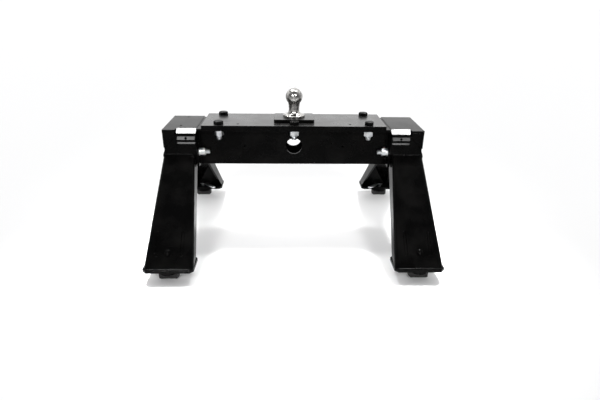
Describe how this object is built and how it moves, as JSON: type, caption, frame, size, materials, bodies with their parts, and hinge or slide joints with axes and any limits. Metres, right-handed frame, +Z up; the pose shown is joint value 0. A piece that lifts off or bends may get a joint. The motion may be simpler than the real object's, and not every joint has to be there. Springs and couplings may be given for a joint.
{
  "type": "fifth wheel hitch",
  "caption": "Four-legged steel truck bed hitch base with a crossbeam, thick top plate, gooseneck ball and quarter-turn anchors under its feet.",
  "frame": {"origin": "middle of the hitch, level with the bottoms of the anchors", "axes": "+X across the truck, +Y to the rear of the picture's view, +Z up"},
  "size_m": [0.952, 0.774, 0.5423],
  "materials": {
    "frame_paint": "gloss black powder coat",
    "ball_steel": "machined",
    "zinc": "zinc plated",
    "black_bolt": "satin black",
    "anchor_steel": "satin black"
  },
  "bodies": {
    "frame": {"ball_base": "frame_paint", "ball_nut": "zinc", "ball_washer": "zinc", "beam_bottom": "frame_paint", "beam_end_left": "frame_paint", "beam_end_right": "frame_paint", "beam_flange": "frame_paint", "beam_front_web": "frame_paint", "beam_rear_web": "frame_paint", "brace_front_left": "frame_paint", "brace_front_right": "frame_paint", "brace_rear_left": "frame_paint", "brace_rear_right": "frame_paint", "fascia_front_left": "frame_paint", "fascia_front_right": "frame_paint", "fascia_rear_left": "frame_paint", "fascia_rear_right": "frame_paint", "foot_collar_front_left": "frame_paint", "foot_collar_front_right": "frame_paint", "foot_collar_rear_left": "frame_paint", "foot_collar_rear_right": "frame_paint", "foot_plate_front_left": "frame_paint", "foot_plate_front_right": "frame_paint", "foot_plate_rear_left": "frame_paint", "foot_plate_rear_right": "frame_paint", "gussets_front_left": "frame_paint", "gussets_front_right": "frame_paint", "gussets_rear_left": "frame_paint", "gussets_rear_right": "frame_paint", "hitch_ball": "ball_steel", "inner_fascia_front_left": "frame_paint", "inner_fascia_front_right": "frame_paint", "inner_fascia_rear_left": "frame_paint", "inner_fascia_rear_right": "frame_paint", "leg_front_left": "frame_paint", "leg_front_right": "frame_paint", "leg_rear_left": "frame_paint", "leg_rear_right": "frame_paint", "side_bolts": "zinc", "side_deck_left": "frame_paint", "side_deck_right": "frame_paint", "side_inner_wall_left": "frame_paint", "side_inner_wall_right": "frame_paint", "side_lock_washers": "zinc", "side_nuts": "zinc", "side_outer_wall_left": "frame_paint", "side_outer_wall_right": "frame_paint", "side_washers": "zinc", "top_bolts": "black_bolt", "top_nuts": "zinc", "top_plate": "frame_paint", "top_washers": "zinc"},
    "anchor_front_right": {"anchor_front_right": "anchor_steel", "anchor_lever_front_right": "zinc"},
    "anchor_front_left": {"anchor_front_left": "anchor_steel", "anchor_lever_front_left": "zinc"},
    "anchor_rear_right": {"anchor_rear_right": "anchor_steel", "anchor_lever_rear_right": "zinc"},
    "anchor_rear_left": {"anchor_rear_left": "anchor_steel", "anchor_lever_rear_left": "zinc"}
  },
  "joints": [
    {"name": "anchor_turn_front_right", "type": "hinge", "parent": "frame", "child": "anchor_front_right", "pos_m": [0.4035, -0.342, 0.02], "axis": [0, 0, -1], "range_deg": [0, 90]},
    {"name": "anchor_turn_front_left", "type": "hinge", "parent": "frame", "child": "anchor_front_left", "pos_m": [-0.4035, -0.342, 0.02], "axis": [0, 0, 1], "range_deg": [0, 90]},
    {"name": "anchor_turn_rear_right", "type": "hinge", "parent": "frame", "child": "anchor_rear_right", "pos_m": [0.4035, 0.342, 0.02], "axis": [0, 0, 1], "range_deg": [0, 90]},
    {"name": "anchor_turn_rear_left", "type": "hinge", "parent": "frame", "child": "anchor_rear_left", "pos_m": [-0.4035, 0.342, 0.02], "axis": [0, 0, -1], "range_deg": [0, 90]}
  ]
}
